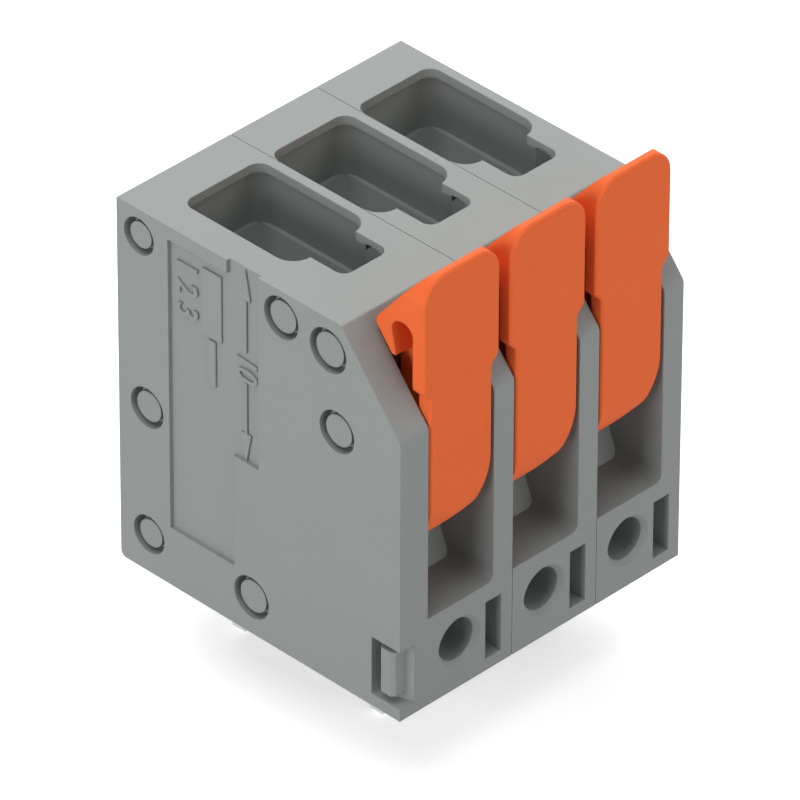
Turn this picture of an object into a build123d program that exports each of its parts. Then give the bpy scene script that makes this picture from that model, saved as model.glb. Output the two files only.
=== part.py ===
from build123d import *
import os

# PCB terminal block with three poles, operated by levers, the wires entering from above.
# Lengths are millimetres. The origin lies on the circuit board, at the middle of the solder pins.
# The poles stand side by side along +X, the levers face -Y, and +Z points up away from the board.

# Overall sizes
poles = 3
pitch = 5.0
end_plate_thickness = 1.6
housing_depth = 16.5
housing_height = 18.15
slope_run = 3.4
slope_drop = 4.15
slope_foot_radius = 0.5
slope_top_radius = 0.15
heel_radius = 0.3
edge_break = 0.05

# Walls of one pole housing
side_wall = 1.18
well_side_wall = 0.53
slot_side_wall = 1.4
floor_height = 3.1

# Wire well, seen from above, measured from the front face
well_front = 7.8
well_back_wall = 2.2
well_front_radius = 0.95
well_back_radius = 0.6
slot_front = 5.85
slot_left = 0.98
slot_radius = 0.5
lip_depth = 0.45
lip_undercut = 0.2
funnel_top_depth = 3.05
wire_hole_radius = 1.35
wire_hole_length = 1.25
wire_line = 10.9
funnel_margin = 0.12

# Clamp chamber
chamber_front = 5.3
chamber_back = 13.2
chamber_height = 7.1

# Test port and marking slot in the front face
port_radius = 1.0
port_chamfer = 0.22
port_height = 2.32
port_offset = 0.05
marker_width = 0.93
marker_height = 2.9
marker_bottom = 0.6
marker_depth = 1.2
marker_edge = 0.68

# Lever and its pivot
pivot_back = 2.3
pivot_height = 9.8
nose_radius = 2.3
stub_radius = 0.9
stub_length = 0.45
stub_clearance = 0.05
stub_end_gap = 0.12
neck_gap = 0.11
neck_back = 2.5
head_width = 4.4
head_rise = 3.0
head_top_back = 0.4
head_rear = 2.84
head_rear_rise = 0.05
head_leg_length = 1.6
head_bottom_drop = 2.83
head_step = 0.45
head_radius = 1.25
step_radius = 0.25
top_rear_radius = 0.3
rear_radius = 0.4
leg_end_radius = 0.12
nose_tip_height = 8.85
nose_slope = 0.45
nose_taper_width = 0.88
nose_taper_height = 1.35
nose_side_radius = 2.6
nose_tip_radius = 0.3
nose_heel_radius = 0.4
cam_flat_back = 4.1
groove_front = 0.64
groove_back = 1.85
groove_rise = 0.6
groove_radius = 0.55
groove_lean = 0.25
lever_rim = 0.1

# Room around the lever
pocket_floor = 4.4
pocket_floor_depth = 2.55
pocket_back = 2.9
pocket_gap = 0.2
pocket_heel = 1.725
pocket_corner_radius = 0.35
cam_window_width = 2.0
cam_window_bottom = 8.4
cam_window_height = 1.2

# Current bar with its two solder pins, stamped from one strip
bar_thickness = 0.75
bar_side_gap = 0.1
bar_gap = 0.05
pin_width = 0.75
pin_length = 3.6
pin_row_spacing = 8.2
pin_front = 4.5
pin_point = 0.12
bar_head_room = 0.3

# Clamp spring, bent from flat strip
spring_thickness = 0.35
spring_side_gap = 0.3
spring_bend_radius = 1.15
spring_top = 9.9
spring_tip_gap = 0.25
spring_tip_height = 5.6

# Pegs that join one housing to its neighbour: depth from the front, height, hole radius
pegs = {
    "back_top": (housing_depth - 1.31, housing_height - 1.31, 0.88),
    "slot_top": (6.87, housing_height - 1.3, 1.0),
    "front_top": (4.17, housing_height - 1.58, 1.05),
    "back_middle": (housing_depth - 1.68, 8.4, 0.97),
    "back_bottom": (housing_depth - 1.71, 1.93, 0.92),
    "front_middle": (3.66, 12.78, 1.0),
    "bottom_middle": (8.69, 1.83, 1.02),
}
peg_reach = 0.5
peg_clearance = 0.03
peg_tip_step = 0.26
peg_tip_length = 0.5
peg_end_gap = 0.12

# Recesses in the outer face of the end plate, measured from the front face
label_front = 9.7
label_back = 13.5
label_bottom = 2.95
label_top_drop = 0.65
gauge_front = 8.23
gauge_back = 10.04
gauge_bottom = 8.56
recess_depth = 0.2
latch_depth = 1.65
latch_width = 0.75
latch_bottom = 0.6
latch_top = 3.5
latch_ramp_out = 0.1
latch_ramp_in = 0.15
catch_front = 0.4
catch_back = 1.25
catch_bottom = 1.0
catch_top = 3.25
catch_chamfer = 0.16

# Places worked out from the sizes
front = -(pin_front + pin_row_spacing / 2)
pocket_width = pitch - side_wall
pole_line = pocket_width / 2
module_left = [(index - (poles - 1) / 2) * pitch - pole_line for index in range(poles)]
plate_left = module_left[0] - end_plate_thickness
neck_width = pocket_width - 2 * neck_gap
chamber_top = floor_height + chamber_height
funnel_bottom = chamber_top + wire_hole_length
well_back = housing_depth - well_back_wall
head_top = housing_height + head_rise
head_rear_height = housing_height + head_rear_rise
head_bottom = housing_height - head_bottom_drop
groove_top = housing_height + groove_rise
label_top = housing_height - label_top_drop
beyond = 1.0
pin_rear = pin_front + pin_row_spacing


def side_plane(x):
    """Side view: across is the depth from the front face, up is the height."""
    return Plane(origin=(x, front, 0), x_dir=(0, 1, 0), z_dir=(1, 0, 0))


def top_plane(x, height):
    """Plan view: across runs along the poles, up is the depth from the front face."""
    return Plane(origin=(x, front, height), x_dir=(1, 0, 0), z_dir=(0, 0, 1))


def front_plane(x, depth=0.0):
    """Front view: across runs along the poles, up is the height."""
    return Plane(origin=(x, front + depth, 0), x_dir=(1, 0, 0), z_dir=(0, -1, 0))


def side_outline():
    """Outline of a housing or the end plate in side view, with the sloped front and a rounded heel."""
    rounded = (
        ((housing_depth, 0), heel_radius),
        ((slope_run, housing_height), slope_top_radius),
        ((0, housing_height - slope_drop), slope_foot_radius),
    )
    with BuildSketch() as outline:
        with BuildLine():
            Polyline(
                (0, 0),
                (housing_depth, 0),
                (housing_depth, housing_height),
                (slope_run, housing_height),
                (0, housing_height - slope_drop),
                close=True,
            )
        make_face()
        for corner, radius in rounded:
            fillet(outline.vertices().sort_by_distance(corner)[0], radius=radius)
    return outline.sketch


def well_outline(growth):
    """Wire well in plan view: a wide chamber with a narrower slot in front of it."""
    wide = pitch - well_side_wall
    slot_right = pitch - slot_side_wall
    with BuildSketch() as slot:
        with Locations(((slot_left + slot_right) / 2, (slot_front + well_back) / 2)):
            Rectangle(slot_right - slot_left, well_back - slot_front)
        fillet(slot.vertices().group_by(Axis.Y)[0], radius=slot_radius)
    with BuildSketch() as well:
        with Locations((wide / 2, (well_front + well_back) / 2)):
            Rectangle(wide, well_back - well_front)
        fillet(well.vertices().group_by(Axis.Y)[0], radius=well_front_radius)
        fillet(well.vertices().group_by(Axis.Y)[-1], radius=well_back_radius)
        add(slot.sketch)
        if growth:
            offset(amount=growth)
    return well.sketch


def make_end_plate():
    with BuildPart() as plate:
        with BuildSketch(side_plane(plate_left)):
            add(side_outline())
        extrude(amount=end_plate_thickness)
        # The label field and the strip gauge share one shallow recess
        with BuildSketch(side_plane(plate_left)):
            with Locations(((label_front + label_back) / 2, (label_bottom + label_top) / 2)):
                Rectangle(label_back - label_front, label_top - label_bottom)
            with Locations(((gauge_front + gauge_back) / 2, (gauge_bottom + housing_height) / 2)):
                Rectangle(gauge_back - gauge_front, housing_height - gauge_bottom)
        extrude(amount=recess_depth, mode=Mode.SUBTRACT)
        # Holes for the pegs of the first housing
        for depth, height, radius in pegs.values():
            with BuildSketch(side_plane(plate_left)):
                with Locations((depth, height)):
                    Circle(radius)
            extrude(amount=end_plate_thickness, mode=Mode.SUBTRACT)
        # Bearing for the first lever, in the inner face
        with BuildSketch(side_plane(plate_left + end_plate_thickness)):
            with Locations((pivot_back, pivot_height)):
                Circle(stub_radius + stub_clearance)
        extrude(amount=-(stub_length - neck_gap + stub_end_gap), mode=Mode.SUBTRACT)
        # Latch window in the lower front corner, its inner side ramped out to the front face
        with BuildSketch(top_plane(plate_left, latch_bottom)):
            with BuildLine():
                Polyline(
                    (0, 0),
                    (latch_width + latch_ramp_out, 0),
                    (latch_width - latch_ramp_in, latch_depth / 2),
                    (latch_width - latch_ramp_in, latch_depth),
                    (0, latch_depth),
                    close=True,
                )
            make_face()
        extrude(amount=latch_top - latch_bottom, mode=Mode.SUBTRACT)
        # The catch that stands in the window, its outer edges broken
        with BuildSketch(top_plane(plate_left, catch_bottom)) as catch:
            with Locations((latch_width / 2, (catch_front + catch_back) / 2)):
                Rectangle(latch_width, catch_back - catch_front)
            chamfer(catch.vertices().group_by(Axis.X)[0], length=catch_chamfer)
        extrude(amount=catch_top - catch_bottom)
    plate.part.label = "end_plate"
    return plate.part


def make_housing(index):
    left = module_left[index]
    with BuildPart() as housing:
        with BuildSketch(side_plane(left)):
            add(side_outline())
        extrude(amount=pitch)
        # Broken edges, which show as a fine line where the next housing begins
        chamfer(housing.faces().sort_by(Axis.X)[-1].edges(), length=edge_break)
        # Pocket for the lever, open to the front and the top
        with BuildSketch(side_plane(left)):
            with BuildLine():
                Polyline(
                    (-beyond, pocket_floor),
                    (pocket_floor_depth, pocket_floor),
                    (pivot_back + pocket_heel, pivot_height - pocket_heel),
                    (pocket_back, pivot_height),
                    (pocket_back, housing_height + beyond),
                    (-beyond, housing_height + beyond),
                    close=True,
                )
            make_face()
            with Locations((pivot_back, pivot_height)):
                Circle(nose_radius + pocket_gap)
        extrude(amount=pocket_width, mode=Mode.SUBTRACT)
        floor_edge = (
            housing.edges()
            .filter_by(Axis.Y)
            .filter_by_position(Axis.Z, pocket_floor - 0.01, pocket_floor + 0.01)
            .sort_by(Axis.X)[-1]
        )
        fillet(floor_edge, radius=pocket_corner_radius)
        # Wire well with its lip, then the funnel and the hole down to the clamp
        with BuildSketch(top_plane(left, housing_height)):
            add(well_outline(0))
        extrude(amount=-lip_depth, mode=Mode.SUBTRACT)
        with BuildSketch(top_plane(left, housing_height - lip_depth)):
            add(well_outline(lip_undercut))
        extrude(amount=-(funnel_top_depth - lip_depth), mode=Mode.SUBTRACT)
        with BuildSketch(top_plane(left, housing_height - funnel_top_depth)):
            with Locations(((pitch - well_side_wall) / 2, (well_front + well_back) / 2)):
                Rectangle(pitch - well_side_wall, well_back - well_front)
        with BuildSketch(top_plane(left, funnel_bottom)):
            with Locations((pole_line, wire_line)):
                side = 2 * (wire_hole_radius + funnel_margin)
                Rectangle(side, side)
        loft(mode=Mode.SUBTRACT)
        with BuildSketch(top_plane(left, chamber_top)):
            with Locations((pole_line, wire_line)):
                Circle(wire_hole_radius)
        extrude(amount=funnel_bottom - chamber_top, mode=Mode.SUBTRACT)
        # Clamp chamber, open on the left, with the channel for the current bar in its floor
        with BuildSketch(side_plane(left)):
            with BuildLine():
                Polyline(
                    (chamber_front, floor_height),
                    (chamber_back, floor_height),
                    (chamber_back, chamber_top),
                    (chamber_front, chamber_top),
                    close=True,
                )
            make_face()
            bar_front = pin_front - bar_thickness / 2 - bar_gap
            with Locations(((bar_front + chamber_front) / 2, floor_height + bar_thickness / 2 + bar_gap)):
                Rectangle(chamber_front - bar_front, bar_thickness + 2 * bar_gap)
        extrude(amount=pocket_width, mode=Mode.SUBTRACT)
        # Slots in the floor for the two solder pins
        with BuildSketch(side_plane(left)):
            for depth in (pin_front, pin_rear):
                with Locations((depth, floor_height / 2)):
                    Rectangle(bar_thickness + 2 * bar_gap, floor_height)
        extrude(amount=pole_line + pin_width / 2 + bar_gap, mode=Mode.SUBTRACT)
        # Window between the lever pocket and the clamp chamber
        with BuildSketch(front_plane(left, chamber_front)):
            with Locations((pole_line, cam_window_bottom + cam_window_height / 2)):
                Rectangle(cam_window_width, cam_window_height)
        extrude(amount=chamber_front - pivot_back, mode=Mode.SUBTRACT)
        # Test port and marking slot in the front face
        port_line = pole_line - port_offset
        with BuildSketch(front_plane(left)):
            with Locations((port_line, port_height)):
                Circle(port_radius)
        extrude(amount=-(pin_front - bar_thickness / 2 - bar_gap), mode=Mode.SUBTRACT)
        port_middle = (left + port_line, front, port_height)
        port_edge = housing.edges().filter_by(GeomType.CIRCLE).sort_by_distance(port_middle)[0]
        chamfer(port_edge, length=port_chamfer)
        with BuildSketch(front_plane(left)):
            with Locations((pitch - marker_edge - marker_width / 2, marker_bottom + marker_height / 2)):
                Rectangle(marker_width, marker_height)
        extrude(amount=-marker_depth, mode=Mode.SUBTRACT)
        # Bearings for this pole's lever and for the neighbour's, in the right wall
        bearing_depth = stub_length - neck_gap + stub_end_gap
        for x, amount in ((left + pocket_width, bearing_depth), (left + pitch, -bearing_depth)):
            with BuildSketch(side_plane(x)):
                with Locations((pivot_back, pivot_height)):
                    Circle(stub_radius + stub_clearance)
            extrude(amount=amount, mode=Mode.SUBTRACT)
        # Peg holes in the right wall; the one beside the slot of the wire well goes right through
        for name, (depth, height, radius) in pegs.items():
            reach = slot_side_wall + lip_undercut if name == "slot_top" else peg_reach
            with BuildSketch(side_plane(left + pitch)):
                with Locations((depth, height)):
                    Circle(radius)
            extrude(amount=-reach, mode=Mode.SUBTRACT)
        # Pegs on the left; those whose end can be seen have a thinner tip
        for name, (depth, height, radius) in pegs.items():
            stepped = index == 0 or name == "slot_top"
            wall = end_plate_thickness if index == 0 else side_wall
            room = wall - peg_tip_length if stepped else peg_reach
            root_length = room - peg_end_gap
            with BuildSketch(side_plane(left)):
                with Locations((depth, height)):
                    Circle(radius - peg_clearance)
            extrude(amount=-root_length)
            if stepped:
                with BuildSketch(side_plane(left - root_length)):
                    with Locations((depth, height)):
                        Circle(radius - peg_tip_step)
                extrude(amount=-peg_tip_length)
    housing.part.label = f"housing_{index + 1}"
    return housing.part


def lever_side():
    """Side view of the lever's middle: a flat neck that ends in a round nose with a cam flat."""
    slope = slope_drop / slope_run
    with BuildSketch() as side:
        with BuildLine():
            Polyline(
                (0, pivot_height),
                (0, head_top),
                (head_top_back, head_top),
                (head_rear, head_rear_height),
                (neck_back, head_rear_height - (head_rear - neck_back) * slope),
                (neck_back, pivot_height),
                close=True,
            )
        make_face()
        fillet(side.vertices().sort_by_distance((head_top_back, head_top))[0], radius=top_rear_radius)
        fillet(side.vertices().sort_by_distance((head_rear, head_rear_height))[0], radius=rear_radius)
        with Locations((pivot_back, pivot_height)):
            Circle(nose_radius)
        with Locations((cam_flat_back + nose_radius, pivot_height)):
            Rectangle(2 * nose_radius, 2 * nose_radius, mode=Mode.SUBTRACT)
    return side.sketch


def head_side():
    """Side view of the broad head: a front plate and a rear leg with a round arch between them."""
    slope = slope_drop / slope_run
    leg_step = head_leg_length / (1 + slope**2) ** 0.5
    leg_end = (head_rear - leg_step, head_rear_height - leg_step * slope)
    rounded = (
        ((head_top_back, head_top), top_rear_radius),
        ((head_rear, head_rear_height), rear_radius),
        ((groove_back, groove_top), groove_radius),
        ((groove_front, groove_top), groove_radius),
        (leg_end, leg_end_radius),
    )
    with BuildSketch() as side:
        with BuildLine():
            Polyline(
                (0, head_bottom),
                (0, head_top),
                (head_top_back, head_top),
                (head_rear, head_rear_height),
                leg_end,
                (groove_back - groove_lean, leg_end[1]),
                (groove_back, groove_top),
                (groove_front, groove_top),
                (groove_front, head_bottom),
                close=True,
            )
        make_face()
        for corner, radius in rounded:
            fillet(side.vertices().sort_by_distance(corner)[0], radius=radius)
    return side.sketch


def lever_front():
    """Front view of the lever: a rounded head, a step down to the neck and a nose cut away on one side."""
    half_neck = neck_width / 2
    half_head = head_width / 2
    tip = half_neck - nose_taper_width
    heel = nose_tip_height - (tip + half_neck) * nose_slope
    rounded = (
        ((-half_head, head_top), head_radius),
        ((-half_head, head_bottom + head_step), step_radius),
        ((-half_neck, head_bottom), step_radius),
        ((-half_neck, heel), nose_heel_radius),
        ((tip, nose_tip_height), nose_tip_radius),
        ((half_neck, nose_tip_height + nose_taper_height), nose_side_radius),
        ((half_neck, head_bottom), step_radius),
        ((half_head, head_bottom + head_step), step_radius),
        ((half_head, head_top), head_radius),
    )
    with BuildSketch() as view:
        with BuildLine():
            Polyline(*(corner for corner, _ in rounded), close=True)
        make_face()
        for corner, radius in rounded:
            fillet(view.vertices().sort_by_distance(corner)[0], radius=radius)
    return view.sketch


def make_lever(index):
    """Lever: its front view with a broken rim, cut to the side views of neck and head."""
    middle = module_left[index] + pole_line
    with BuildPart() as sides:
        with BuildSketch(side_plane(middle)):
            add(lever_side())
        extrude(amount=neck_width / 2, both=True)
        with BuildSketch(side_plane(middle)):
            add(head_side())
        extrude(amount=head_width / 2, both=True)
    with BuildPart() as lever:
        with BuildSketch(front_plane(middle)):
            add(lever_front())
        extrude(amount=-(cam_flat_back + beyond))
        chamfer(lever.faces().sort_by(Axis.Y)[0].edges(), length=lever_rim)
        add(sides.part, mode=Mode.INTERSECT)
        # Pivot stubs on both sides
        with BuildSketch(side_plane(middle)):
            with Locations((pivot_back, pivot_height)):
                Circle(stub_radius)
        extrude(amount=neck_width / 2 + stub_length, both=True)
    lever.part.label = f"lever_{index + 1}"
    return lever.part


def make_current_bar(index):
    middle = module_left[index] + pole_line
    base = floor_height + bar_gap
    upright = chamber_top - bar_head_room - base
    half_width = pocket_width / 2 - bar_side_gap
    with BuildPart() as bar:
        with BuildSketch(side_plane(middle)):
            with Locations(((pin_front + pin_rear) / 2, base + bar_thickness / 2)):
                Rectangle(pin_row_spacing + bar_thickness, bar_thickness)
            with Locations((pin_rear, base + upright / 2)):
                Rectangle(bar_thickness, upright)
        extrude(amount=half_width, both=True)
        for depth in (pin_front, pin_rear):
            with BuildSketch(side_plane(middle)):
                with Locations((depth, (base - pin_length) / 2)):
                    Rectangle(bar_thickness, base + pin_length)
            extrude(amount=pin_width / 2, both=True)
        points = bar.faces().sort_by(Axis.Z)[:2].edges()
        chamfer(points, length=pin_point)
    bar.part.label = f"current_bar_{index + 1}"
    return bar.part


def make_spring(index):
    """Leaf spring: a fixed leg, a bend over the top, and a clamping leg down to the bar."""
    middle = module_left[index] + pole_line
    half_width = pocket_width / 2 - spring_side_gap
    foot = floor_height + 2 * bar_gap + bar_thickness
    leg = chamber_front + bar_gap + spring_thickness / 2
    bend_centre = leg + spring_bend_radius
    bend_height = spring_top - spring_thickness / 2 - spring_bend_radius
    tip = pin_rear - bar_thickness / 2 - spring_tip_gap
    with BuildPart() as spring:
        with BuildSketch(side_plane(middle)):
            with BuildLine() as strip:
                Line((leg, foot), (leg, bend_height))
                over = CenterArc((bend_centre, bend_height), spring_bend_radius, 45, 135)
                Line(over @ 0, (tip, spring_tip_height))
            trace(strip.line, line_width=spring_thickness)
        extrude(amount=half_width, both=True)
    spring.part.label = f"clamp_spring_{index + 1}"
    return spring.part


os.makedirs("parts", exist_ok=True)
pieces = [make_end_plate()]
for number in range(poles):
    pieces += [make_housing(number), make_lever(number), make_current_bar(number), make_spring(number)]
for piece in pieces:
    export_step(piece, f"parts/{piece.label}.step")
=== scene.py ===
# %% [markdown]
# # A lever terminal block for circuit boards
# Three poles stand side by side, each a grey moulded housing with an orange lever in front.
# The solid parts come from a CAD model that is already packed, and this lesson dresses them.
# We load that model first. Its objects stay where they are, and everything added here is
# placed from their boxes, so a piece that sits on the block keeps sitting there. Blender
# counts in metres, so each length below is a number of millimetres times `mm`.

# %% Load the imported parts
import bmesh
import bpy
import math
from mathutils import Matrix, Vector


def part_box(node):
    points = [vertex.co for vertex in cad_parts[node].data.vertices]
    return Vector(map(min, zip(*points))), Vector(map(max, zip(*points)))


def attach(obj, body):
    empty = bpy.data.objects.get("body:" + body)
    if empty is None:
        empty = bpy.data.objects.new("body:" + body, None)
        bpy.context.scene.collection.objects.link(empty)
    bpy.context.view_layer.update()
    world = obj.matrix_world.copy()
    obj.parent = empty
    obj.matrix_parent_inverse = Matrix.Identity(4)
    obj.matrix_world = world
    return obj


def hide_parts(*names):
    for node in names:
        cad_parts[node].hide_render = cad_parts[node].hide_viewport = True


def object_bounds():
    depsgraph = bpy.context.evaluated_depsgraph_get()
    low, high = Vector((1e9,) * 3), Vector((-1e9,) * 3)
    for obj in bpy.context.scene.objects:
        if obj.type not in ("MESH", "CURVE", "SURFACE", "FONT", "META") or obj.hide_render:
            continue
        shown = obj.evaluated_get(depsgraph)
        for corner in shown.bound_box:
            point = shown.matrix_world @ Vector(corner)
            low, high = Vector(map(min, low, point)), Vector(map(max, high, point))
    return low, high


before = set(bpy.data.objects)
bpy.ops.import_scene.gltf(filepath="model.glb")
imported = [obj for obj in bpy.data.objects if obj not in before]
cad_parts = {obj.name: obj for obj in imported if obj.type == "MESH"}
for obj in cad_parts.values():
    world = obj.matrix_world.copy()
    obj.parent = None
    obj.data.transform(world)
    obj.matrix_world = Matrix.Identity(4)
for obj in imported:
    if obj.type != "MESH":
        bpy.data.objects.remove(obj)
cad_low, cad_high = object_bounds()
mm = 0.001
print("parts:", sorted(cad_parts))
print("CAD size in mm:", [round(side / mm, 2) for side in cad_high - cad_low])

# %% [markdown]
# ## Places on the block
# The end plate is the left wall of the block, and most of what we add sits on it.
# Its box gives the left face, the front face and the top, and the pins give the ground:
# the block stands on the tips of its solder pins, as a loose one does on a table.

# %% Read the places from the parts
plate_low, plate_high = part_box("end_plate")
left_face = plate_low.x
front_face = plate_low.y
plate_top = plate_high.z
ground = cad_low.z
print("left face at x", round(left_face / mm, 2), "mm, ground at z", round(ground / mm, 2), "mm")

# %% [markdown]
# ## Camera
# The view looks down on the front left corner from far away, through a long lens.
# A long lens keeps parallel edges nearly parallel, which is why the block looks almost
# isometric. The camera is also turned a fifth of a degree round its own axis.

# %% Place the camera
camera_azimuth = -45.21
camera_elevation = 35.23
camera_roll = 0.205
camera_distance = 471.8 * mm
camera_aim = Vector((2.73, 2.61, 5.0)) * mm
camera_lens = 505.16
nearest_seen = 50 * mm
farthest_seen = 10000 * mm


def add_object(name, data):
    """An object that carries this data, linked to the scene so that it shows."""
    made = bpy.data.objects.new(name, data)
    bpy.context.scene.collection.objects.link(made)
    return made


def direction(azimuth, elevation):
    """Unit vector from the block towards a viewer: azimuth 0 stands in front of the levers."""
    turn, rise = math.radians(azimuth), math.radians(elevation)
    flat = math.cos(rise)
    return Vector((math.sin(turn) * flat, -math.cos(turn) * flat, math.sin(rise)))


camera_data = bpy.data.cameras.new("camera")
camera_data.lens = camera_lens
camera_data.clip_start = nearest_seen
camera_data.clip_end = farthest_seen
camera = add_object("camera", camera_data)
towards_camera = direction(camera_azimuth, camera_elevation)
camera.location = camera_aim + towards_camera * camera_distance
level_view = (-towards_camera).to_track_quat("-Z", "Y")
roll = Matrix.Rotation(math.radians(camera_roll), 3, "Z").to_quaternion()
camera.rotation_mode = "QUATERNION"
camera.rotation_quaternion = level_view @ roll
bpy.context.scene.camera = camera
print("camera stands", round(camera_distance / mm), "mm away")

# %% [markdown]
# ## Light
# This is a soft studio shot: the top faces are brightest, then the left side, then the front,
# and the wells and lever pockets fall off into dark. An even world would reach into every
# hollow and wash it out, so nearly all the light comes from five large soft boxes. One hangs
# overhead, one stands behind and one to the right, and two low ones stand on the ground at the
# left and in front. Each is given as the brightness that it adds to a white surface that faces
# it, which is easier to reason about than watts.

# %% Hang the lamps
bpy.context.scene.view_settings.view_transform = "Standard"
lamp_distance = 200 * mm
box_width = 140 * mm
tall_box = 140 * mm
low_box = 105 * mm

# Each soft box has its azimuth and elevation in degrees, its height and its brightness.
soft_boxes = {
    "overhead_softbox": (-90, 72, tall_box, 0.44),
    "back_softbox": (135, 45, tall_box, 0.83),
    "right_softbox": (45, 45, tall_box, 0.2),
    "left_softbox": (-90, 15, low_box, 0.56),
    "front_softbox": (0, 15, low_box, 0.3),
}
for name, (azimuth, elevation, box_height, level) in soft_boxes.items():
    lamp = bpy.data.lights.new(name, "AREA")
    lamp.shape = "RECTANGLE"
    lamp.size = box_width
    lamp.size_y = box_height
    lamp.energy = level * (math.pi * lamp_distance) ** 2
    soft_box = add_object(name, lamp)
    towards_box = direction(azimuth, elevation)
    soft_box.location = towards_box * lamp_distance
    soft_box.rotation_mode = "QUATERNION"
    soft_box.rotation_quaternion = towards_box.to_track_quat("Z", "Y")
    print(name, "adds", level)

# %% [markdown]
# ## Shader maths as Python
# Blender's materials are graphs of nodes. Written by hand, one sum takes three lines, so we
# wrap a socket in a small class whose operators add the Math node for us. Every other node
# comes from one method, which takes the node's type, its settings and its inputs. A Mix node
# repeats its socket names for each kind of value, so its sockets are picked by their number.


# %% Wrap sockets and materials
class Field:
    """One output socket of a material."""

    def __init__(self, paint, socket):
        self.paint = paint
        self.socket = socket

    def math(self, operation, first, second):
        return self.paint.node("ShaderNodeMath", {"operation": operation}, {0: first, 1: second})

    def __add__(self, other):
        return self.math("ADD", self, other)

    def __sub__(self, other):
        return self.math("SUBTRACT", self, other)

    def __rsub__(self, other):
        return self.math("SUBTRACT", other, self)

    def __mul__(self, other):
        return self.math("MULTIPLY", self, other)

    def absolute(self):
        return self.math("ABSOLUTE", self, 0.0)

    def below(self, limit):
        """1 where this value is less than the limit, and 0 elsewhere."""
        return self.math("LESS_THAN", self, limit)

    __radd__ = __add__
    __rmul__ = __mul__


class Paint:
    """The node tree of a material or of the world, empty at first."""

    def __init__(self, owner):
        owner.use_nodes = True
        self.tree = owner.node_tree
        self.tree.nodes.clear()

    def node(self, kind, settings=None, inputs=None, output=0):
        made = self.tree.nodes.new(kind)
        for key, value in (settings or {}).items():
            setattr(made, key, value)
        for key, value in (inputs or {}).items():
            if isinstance(value, Field):
                self.tree.links.new(value.socket, made.inputs[key])
            else:
                made.inputs[key].default_value = value
        return Field(self, made.outputs[output])

    def noise(self, place, scale, detail):
        inputs = {"Vector": place, "Scale": scale, "Detail": detail}
        return self.node("ShaderNodeTexNoise", {}, inputs)

    def mix(self, factor, first, second):
        inputs = {0: factor, 6: first, 7: second}
        return self.node("ShaderNodeMix", {"data_type": "RGBA"}, inputs, output=2)

    def mix_vector(self, factor, first, second):
        inputs = {0: factor, 4: first, 5: second}
        return self.node("ShaderNodeMix", {"data_type": "VECTOR"}, inputs, output=1)

    def finish(self, shader, kind="ShaderNodeOutputMaterial"):
        output = self.tree.nodes.new(kind)
        self.tree.links.new(shader.socket, output.inputs["Surface"])
        print("made", len(self.tree.nodes), "nodes")


white = (1.0, 1.0, 1.0, 1.0)
print("a colour in a node has four parts, and white is", white)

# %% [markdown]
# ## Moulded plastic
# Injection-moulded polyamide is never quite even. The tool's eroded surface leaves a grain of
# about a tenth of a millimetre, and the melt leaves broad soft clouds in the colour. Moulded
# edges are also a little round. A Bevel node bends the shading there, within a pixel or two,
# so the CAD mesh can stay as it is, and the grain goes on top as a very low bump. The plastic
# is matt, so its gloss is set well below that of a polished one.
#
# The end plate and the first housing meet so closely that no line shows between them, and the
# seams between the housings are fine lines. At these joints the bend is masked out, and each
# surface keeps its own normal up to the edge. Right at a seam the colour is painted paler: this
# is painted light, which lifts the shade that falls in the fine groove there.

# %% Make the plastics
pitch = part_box("housing_3")[0].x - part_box("housing_2")[0].x
closed_joint = plate_high.x
housing_seams = [closed_joint + pitch, closed_joint + 2 * pitch]
joint_reach = 0.08 * mm
seam_reach = 0.01 * mm
# Share of white painted into the colour at a housing seam: painted light that lifts the shade in
# the groove.
seam_painted_light = 0.2
bend_samples = 6
cloud_scale, cloud_detail = 260.0, 3.0
grain_scale, grain_detail = 9000.0, 2.0
grain_roughness = 0.1


def moulded_plastic(
    name, dark, light, roughness, gloss, grain_depth, edge_radius, closed=(), seams=()
):
    """A grained plastic. Its edges look round, except at the joints that lie at these x."""
    material = bpy.data.materials.new(name)
    paint = Paint(material)
    place = paint.node("ShaderNodeTexCoord", output="Object")
    across = paint.node("ShaderNodeSeparateXYZ", {}, {0: place})
    joints = [*closed, *seams]
    at_joint = sum((across - joint).absolute().below(joint_reach) for joint in joints)
    # The narrow strip along each housing seam, where painted light is mixed into the colour.
    seam_painted_light_mask = sum((across - seam).absolute().below(seam_reach) for seam in seams)
    bent = paint.node("ShaderNodeBevel", {"samples": bend_samples}, {"Radius": edge_radius})
    unbent = paint.node("ShaderNodeNewGeometry", output="Normal")
    clouds = paint.noise(place, cloud_scale, cloud_detail)
    grain = paint.noise(place, grain_scale, grain_detail)
    relief = paint.node(
        "ShaderNodeBump",
        {},
        {
            "Strength": 1.0,
            "Distance": grain_depth,
            "Height": grain,
            "Normal": paint.mix_vector(at_joint, bent, unbent),
        },
    )
    colour = paint.mix(clouds, (*dark, 1.0), (*light, 1.0))
    surface = paint.node(
        "ShaderNodeBsdfPrincipled",
        {},
        {
            # The colour is painted paler at the housing seams, as painted light for the shaded
            # groove.
            "Base Color": paint.mix(seam_painted_light_mask * seam_painted_light, colour, white),
            "Roughness": roughness - grain_roughness / 2 + grain_roughness * grain,
            "Specular IOR Level": gloss,
            "Normal": relief,
        },
    )
    paint.finish(surface)
    return material


housing_grey = moulded_plastic(
    "housing_grey",
    dark=(0.266, 0.284, 0.276),
    light=(0.282, 0.3, 0.292),
    roughness=0.62,
    gloss=0.2,
    grain_depth=0.0015 * mm,
    edge_radius=0.05 * mm,
    closed=[closed_joint],
    seams=housing_seams,
)
lever_orange = moulded_plastic(
    "lever_orange",
    dark=(0.835, 0.144, 0.038),
    light=(0.86, 0.156, 0.042),
    roughness=0.6,
    gloss=0.1,
    grain_depth=0.001 * mm,
    edge_radius=0.1 * mm,
)

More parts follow.
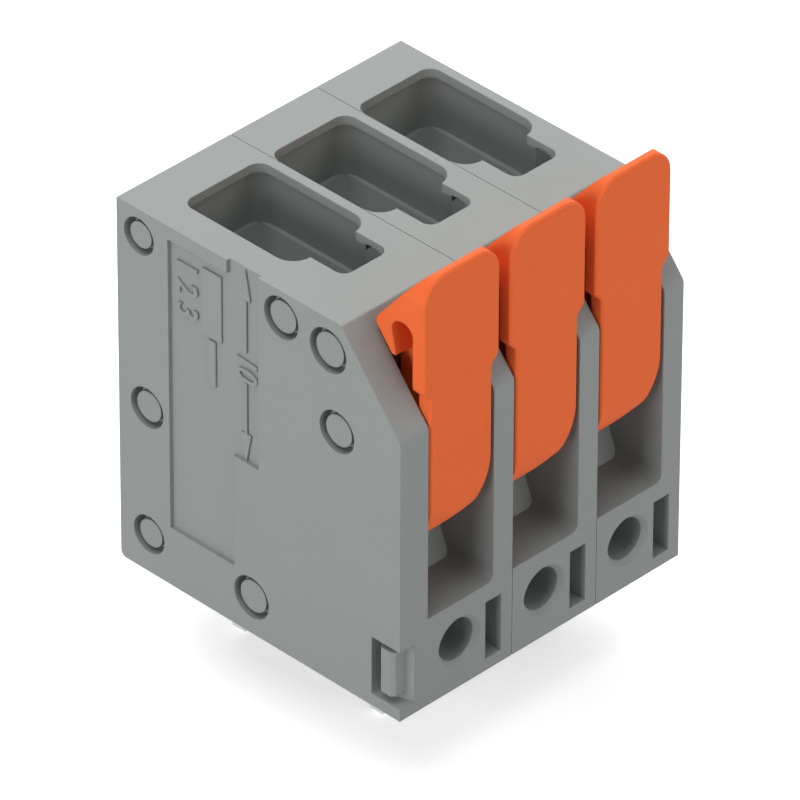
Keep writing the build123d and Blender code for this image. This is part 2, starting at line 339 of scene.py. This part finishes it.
# %% [markdown]
# ## Metal strip
# The solder pins and the current bar are stamped from tin-plated copper, and the clamp spring
# is stainless strip. Rolling leaves fine lines along the strip, so the noise is stretched in
# one direction before it reaches the roughness and the bump.

# %% Make the metals
line_scale, line_detail = 6000.0, 3.0
line_depth = 0.0008 * mm
line_roughness = 0.12
stain_scale, stain_detail = 700.0, 2.0
stain_tone = 0.85


def rolled_metal(name, colour, roughness, stretch):
    """A metal with rolling lines: the noise is drawn out where a part of `stretch` is small."""
    material = bpy.data.materials.new(name)
    paint = Paint(material)
    place = paint.node("ShaderNodeTexCoord", output="Object")
    stretched = paint.node("ShaderNodeMapping", {}, {"Vector": place, "Scale": stretch})
    lines = paint.noise(stretched, line_scale, line_detail)
    stain = paint.noise(place, stain_scale, stain_detail)
    darker = [stain_tone * part for part in colour]
    relief = paint.node(
        "ShaderNodeBump", {}, {"Strength": 1.0, "Distance": line_depth, "Height": lines}
    )
    surface = paint.node(
        "ShaderNodeBsdfPrincipled",
        {},
        {
            "Base Color": paint.mix(stain, (*darker, 1.0), (*colour, 1.0)),
            "Metallic": 1.0,
            "Roughness": roughness + line_roughness * lines,
            "Normal": relief,
        },
    )
    paint.finish(surface)
    return material


contact_tin = rolled_metal(
    "contact_tin", colour=(0.72, 0.72, 0.7), roughness=0.3, stretch=(1.0, 1.0, 0.05)
)
spring_steel = rolled_metal(
    "spring_steel", colour=(0.62, 0.61, 0.58), roughness=0.24, stretch=(1.0, 0.05, 0.05)
)

# %% [markdown]
# ## Dress the CAD parts
# Each part takes the material that its name calls for. The parts keep their meshes.

# %% Give each part its material
finishes = {
    "end_plate": housing_grey,
    "housing": housing_grey,
    "lever": lever_orange,
    "current_bar": contact_tin,
    "clamp_spring": spring_steel,
}
for name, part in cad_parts.items():
    finish = next(material for start, material in finishes.items() if name.startswith(start))
    part.data.materials.clear()
    part.data.materials.append(finish)
print(len(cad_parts), "parts dressed")

# %% [markdown]
# ## Solids from outlines
# The grooves in the levers and the relief on the end plate all start as a flat outline. We draw
# it as one face in a bmesh, which is a mesh that is still being drawn, pull it out into a solid
# and write the result into mesh data. So each shape comes down to its list of corners.


# %% Pull outlines out into solids
def add_prism(drawing, corners, reach):
    """A solid in a bmesh: a flat outline of corners, pulled out along the vector `reach`."""
    face = drawing.faces.new([drawing.verts.new(corner) for corner in corners])
    made = bmesh.ops.extrude_face_region(drawing, geom=[face])
    pulled = [item for item in made["geom"] if isinstance(item, bmesh.types.BMVert)]
    bmesh.ops.translate(drawing, verts=pulled, vec=reach)


def mesh_from(drawing, name, finish=None):
    """Mesh data with this finish, written from a bmesh, which is then freed."""
    data = bpy.data.meshes.new(name)
    drawing.to_mesh(data)
    drawing.free()
    if finish:
        data.materials.append(finish)
    return data


# %% [markdown]
# ## Grooves in the sides of the levers
# A lever is moulded with a deep groove in each side, behind its front plate, so that the plastic
# is thin everywhere and cools evenly. The CAD lever has the groove in its head alone. A copy of
# each lever is cut deeper and further down with a Boolean, which fits a carved shape better
# than moving points by hand, and the copy stands for the CAD lever. The cutter is the outline of
# the groove in side view, pulled out sideways into two prisms. The web stays between them.
# Depths count from the front of the lever and heights downwards from its tip.

# %% Draw the cutter
groove_front = 0.65 * mm
groove_back = 1.84 * mm
groove_lean = 0.25 * mm
groove_top = 2.41 * mm
groove_radius = 0.54 * mm
groove_length = 5.4 * mm
leg_end = 4.2 * mm
neck_rear = 2.6 * mm
half_web = 1.0 * mm
cutter_depth = 1.5 * mm
arch_steps = 8


def quarter_arc(depth, height, radius, start):
    """Points of a quarter circle round a middle, from the angle `start` in degrees."""
    angles = [math.radians(start + 90 * step / arch_steps) for step in range(arch_steps + 1)]
    return [(depth + radius * math.cos(a), height + radius * math.sin(a)) for a in angles]


def groove_outline(low, high):
    """The groove in side view, as (depth, height) points: round on top and open behind."""
    front, back, rear = low.y + groove_front, low.y + groove_back, low.y + neck_rear
    top, leg_height = high.z - groove_top, high.z - leg_end
    bottom = top - groove_length
    arch_height = top - groove_radius
    return [
        (rear, bottom),
        (rear, leg_height),
        (back - groove_lean, leg_height),
        *quarter_arc(back - groove_radius, arch_height, groove_radius, 0),
        *quarter_arc(front + groove_radius, arch_height, groove_radius, 90),
        (front, bottom),
    ]


def groove_cutter(low, high):
    """Two prisms in one mesh, which leave a web in the middle of the lever."""
    outline = groove_outline(low, high)
    middle = (low.x + high.x) / 2
    drawing = bmesh.new()
    for side in (-1, 1):
        web_face = middle + side * half_web
        corners = [(web_face, depth, height) for depth, height in outline]
        add_prism(drawing, corners, (side * cutter_depth, 0, 0))
    bmesh.ops.recalc_face_normals(drawing, faces=drawing.faces)
    return add_object("groove_cutter", mesh_from(drawing, "groove_cutter"))


print("the groove is", round(groove_length / mm, 2), "mm long")

# %% [markdown]
# A Boolean needs closed solids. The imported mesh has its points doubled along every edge, so the
# copy is welded first. The CAD normals don't fit the cut mesh, so they go: edges over 30 degrees
# are marked sharp, and a Weighted Normal modifier keeps flat faces flat next to small rounds.

# %% Cut the levers
sharp_angle = math.radians(30)
weld_distance = 0.0005 * mm
flat_face_weight = 100

for index in (1, 2, 3):
    lever_name = f"lever_{index}"
    name = f"{lever_name}_grooved"
    drawing = bmesh.new()
    drawing.from_mesh(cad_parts[lever_name].data)
    bmesh.ops.remove_doubles(drawing, verts=drawing.verts, dist=weld_distance)
    grooved = add_object(name, mesh_from(drawing, name, lever_orange))
    cutter = groove_cutter(*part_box(lever_name))
    cut = grooved.modifiers.new("groove", "BOOLEAN")
    cut.operation = "DIFFERENCE"
    cut.solver = "EXACT"
    cut.object = cutter
    evaluated = grooved.evaluated_get(bpy.context.evaluated_depsgraph_get())
    shape = bpy.data.meshes.new_from_object(evaluated)
    grooved.modifiers.clear()
    grooved.data = shape
    bpy.data.objects.remove(cutter)
    shape.attributes.remove(shape.attributes["custom_normal"])
    shape.shade_smooth()
    shape.set_sharp_from_angle(angle=sharp_angle)
    even = grooved.modifiers.new("flat_faces", "WEIGHTED_NORMAL")
    even.keep_sharp = True
    even.weight = flat_face_weight
    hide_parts(lever_name)
    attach(grooved, lever_name)
    print(name, "has", len(shape.polygons), "faces")

# %% [markdown]
# ## Relief on the end plate
# The end plate has two shallow fields that share one edge. The front one holds the strip
# gauge: a double arrow, ten millimetres long, that shows how much insulation to strip. The
# rear one holds a plain picture of a stripped wire and the numbers of the poles. All of it
# is raised a tenth of a millimetre. We draw each shape as a flat outline, seen from the
# left, extrude it towards the viewer and round its rim with a small bevel.

# %% Draw raised outlines
field_floor = left_face + 0.2 * mm
relief_height = 0.11 * mm
relief_rim = 0.04 * mm
rim_segments = 2


def on_plate(depth, height, lift=0.0):
    """A point in the fields of the end plate, from its depth behind the front face."""
    return Vector((field_floor - lift, front_face + depth, height))


def raised(name, outlines):
    """One piece made of flat outlines of (depth, height) points, raised from the field."""
    drawing = bmesh.new()
    for outline in outlines:
        corners = [on_plate(depth, height) for depth, height in outline]
        add_prism(drawing, corners, (-relief_height, 0, 0))
    bmesh.ops.recalc_face_normals(drawing, faces=drawing.faces)
    piece = add_object(name, mesh_from(drawing, name, housing_grey))
    rim = piece.modifiers.new("rim", "BEVEL")
    rim.width = relief_rim
    rim.segments = rim_segments
    rim.limit_method = "ANGLE"
    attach(piece, "block")
    print(name, "has", len(outlines), "raised shapes")


print("the fields lie at x", round(field_floor / mm, 2), "mm")

# %% [markdown]
# ## Double arrow
# The strip gauge is one line with an arrow head at each end and a gap for its number. Each
# half is a single outline of seven points, so head and shaft can't come apart. The upper tip
# ends just below the top of the plate.

# %% Raise the double arrow of the strip gauge
gauge_line = 9.07 * mm
gauge_top = plate_top - 0.03 * mm
gauge_bottom = 8.36 * mm
head_length = 1.55 * mm
head_width = 0.6 * mm
shaft_width = 0.14 * mm
number_top = 13.95 * mm
number_bottom = 12.45 * mm


def arrow(tip, tail):
    """An arrow from tail to tip along the gauge line, with its head at the tip."""
    neck = tip - math.copysign(head_length, tip - tail)
    half_head, half_shaft = head_width / 2, shaft_width / 2
    return [
        (gauge_line, tip),
        (gauge_line + half_head, neck),
        (gauge_line + half_shaft, neck),
        (gauge_line + half_shaft, tail),
        (gauge_line - half_shaft, tail),
        (gauge_line - half_shaft, neck),
        (gauge_line - half_head, neck),
    ]


raised("gauge_arrows", [arrow(gauge_top, number_top), arrow(gauge_bottom, number_bottom)])

# %% [markdown]
# ## Picture of a stripped wire
# The picture tells which end of the wire goes in: a broad bar is the insulation and a narrow
# one below it the bare core. A small gap keeps the two apart, so that each has its own rim.

# %% Raise the picture of a stripped wire
wire_line = 11.05 * mm
wire_top = 17.0 * mm
jacket_length = 3.3 * mm
jacket_width = 1.15 * mm
core_length = 2.4 * mm
core_width = 0.42 * mm
core_gap = 0.12 * mm


def bar(depth, low, high, width):
    """An upright bar as an outline."""
    half = width / 2
    return [(depth - half, low), (depth + half, low), (depth + half, high), (depth - half, high)]


jacket_end = wire_top - jacket_length
jacket = bar(wire_line, jacket_end, wire_top, jacket_width)
core = bar(wire_line, jacket_end - core_length, jacket_end - core_gap, core_width)
raised("wire_picture", [jacket, core])

# %% [markdown]
# ## Numbers
# The gauge carries its length in millimetres and the rear field the numbers of the poles.
# A text object with a little extrusion and a round bevel gives the soft strokes of a moulded
# number. It reads downwards, with the tops of the figures towards the levers. A figure fills
# seven tenths of its font size, and that share turns its height into a size.

# %% Raise the numbers
figure_height = 1.2 * mm
figure_share = 0.7
stroke_steps = 2
pole_line = 12.55 * mm
pole_middle = 15.45 * mm


def number(name, text, depth, middle, narrow, slant):
    """A moulded number that reads downwards, with its middle at this depth and height."""
    figures = bpy.data.curves.new(name, "FONT")
    figures.body = text
    figures.size = figure_height / figure_share
    figures.align_x = "CENTER"
    figures.align_y = "CENTER"
    figures.shear = slant
    figures.extrude = relief_height / 2 - relief_rim / 2
    figures.bevel_depth = relief_rim / 2
    figures.bevel_resolution = stroke_steps
    figures.materials.append(housing_grey)
    piece = add_object(name, figures)
    reads_down = Matrix(((0, 0, -1), (0, -1, 0), (-1, 0, 0))).to_4x4()
    place = Matrix.Translation(on_plate(depth, middle, relief_height / 2))
    piece.matrix_world = place @ reads_down @ Matrix.Diagonal((narrow, 1, 1, 1))
    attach(piece, "block")
    print(name, "reads", text)


gauge_middle = (number_top + number_bottom) / 2
number("gauge_number", "10", gauge_line, gauge_middle, narrow=0.8, slant=0.1)
number("pole_numbers", "1 2 3", pole_line, pole_middle, narrow=0.85, slant=0.0)

# %% [markdown]
# ## Stop in the open peg hole
# Beside each wire slot a peg hole goes right through the wall, and the peg of the next housing
# fills it. The last housing has no neighbour, so a thin round stop closes its hole instead.
# Its place counts from the front face, the top and the right side of that housing.

# %% Close the last peg hole
wall_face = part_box("housing_3")[1].x
hole_depth = 6.87 * mm
hole_height = 1.3 * mm
stop_radius = 0.97 * mm
stop_thickness = 0.3 * mm
stop_inset = 0.5 * mm
stop_sides = 48
drawing = bmesh.new()
bmesh.ops.create_cone(
    drawing,
    cap_ends=True,
    segments=stop_sides,
    radius1=stop_radius,
    radius2=stop_radius,
    depth=stop_thickness,
    matrix=Matrix.Rotation(math.radians(90), 4, "Y"),
)
stop = add_object("peg_stop", mesh_from(drawing, "peg_stop", housing_grey))
stop_middle = wall_face - stop_inset - stop_thickness / 2
stop.location = (stop_middle, front_face + hole_depth, plate_top - hole_height)
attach(stop, "block")
print("peg stop closes the hole", round(hole_depth / mm, 2), "mm behind the front face")

# %% [markdown]
# ## Ground
# The background is white, with a faint narrow shadow round the foot of the block. Light that
# bounces meets a plain matt plane. The camera sees a whiter one, mixed with an even glow that
# lifts everything but that narrow shadow to pure white and adds no light to the block.

# %% Lay the ground
ground_size = 400 * mm
bounce_tone = 0.62
glow_share = 0.26
glow_level = 2.2


def seen_directly(paint):
    """1 for rays from the camera and for reflections and refractions, 0 for bounced light."""
    camera_ray = paint.node("ShaderNodeLightPath", output="Is Camera Ray")
    glossy_ray = paint.node("ShaderNodeLightPath", output="Is Glossy Ray")
    clear_ray = paint.node("ShaderNodeLightPath", output="Is Transmission Ray")
    return camera_ray + glossy_ray + clear_ray


half = ground_size / 2
square = [(-half, -half), (half, -half), (half, half), (-half, half)]
corners = [(across, depth, ground) for across, depth in square]
ground_mesh = bpy.data.meshes.new("ground")
ground_mesh.from_pydata(corners, [], [(0, 1, 2, 3)])
floor = add_object("ground", ground_mesh)
ground_white = bpy.data.materials.new("ground_white")
paint = Paint(ground_white)
bounce_grey = (bounce_tone, bounce_tone, bounce_tone, 1.0)
bounced = paint.node("ShaderNodeBsdfDiffuse", {}, {"Color": bounce_grey})
matt = paint.node("ShaderNodeBsdfDiffuse", {}, {"Color": white})
glow = paint.node("ShaderNodeEmission", {}, {"Strength": glow_level})
seen = paint.node("ShaderNodeMixShader", {}, {0: glow_share, 1: matt, 2: glow})
either = paint.node("ShaderNodeMixShader", {}, {0: seen_directly(paint), 1: bounced, 2: seen})
paint.finish(either)
ground_mesh.materials.append(ground_white)

# %% [markdown]
# ## World
# The world is white where the camera or a reflection sees it, and black for the light that
# falls on the block, because the soft boxes and the ground give all of that.

# %% Set the world
world = bpy.data.worlds.new("world")
bpy.context.scene.world = world
sky = Paint(world)
background = sky.node(
    "ShaderNodeBackground", {}, {"Color": white, "Strength": seen_directly(sky)}
)
sky.finish(background, "ShaderNodeOutputWorld")
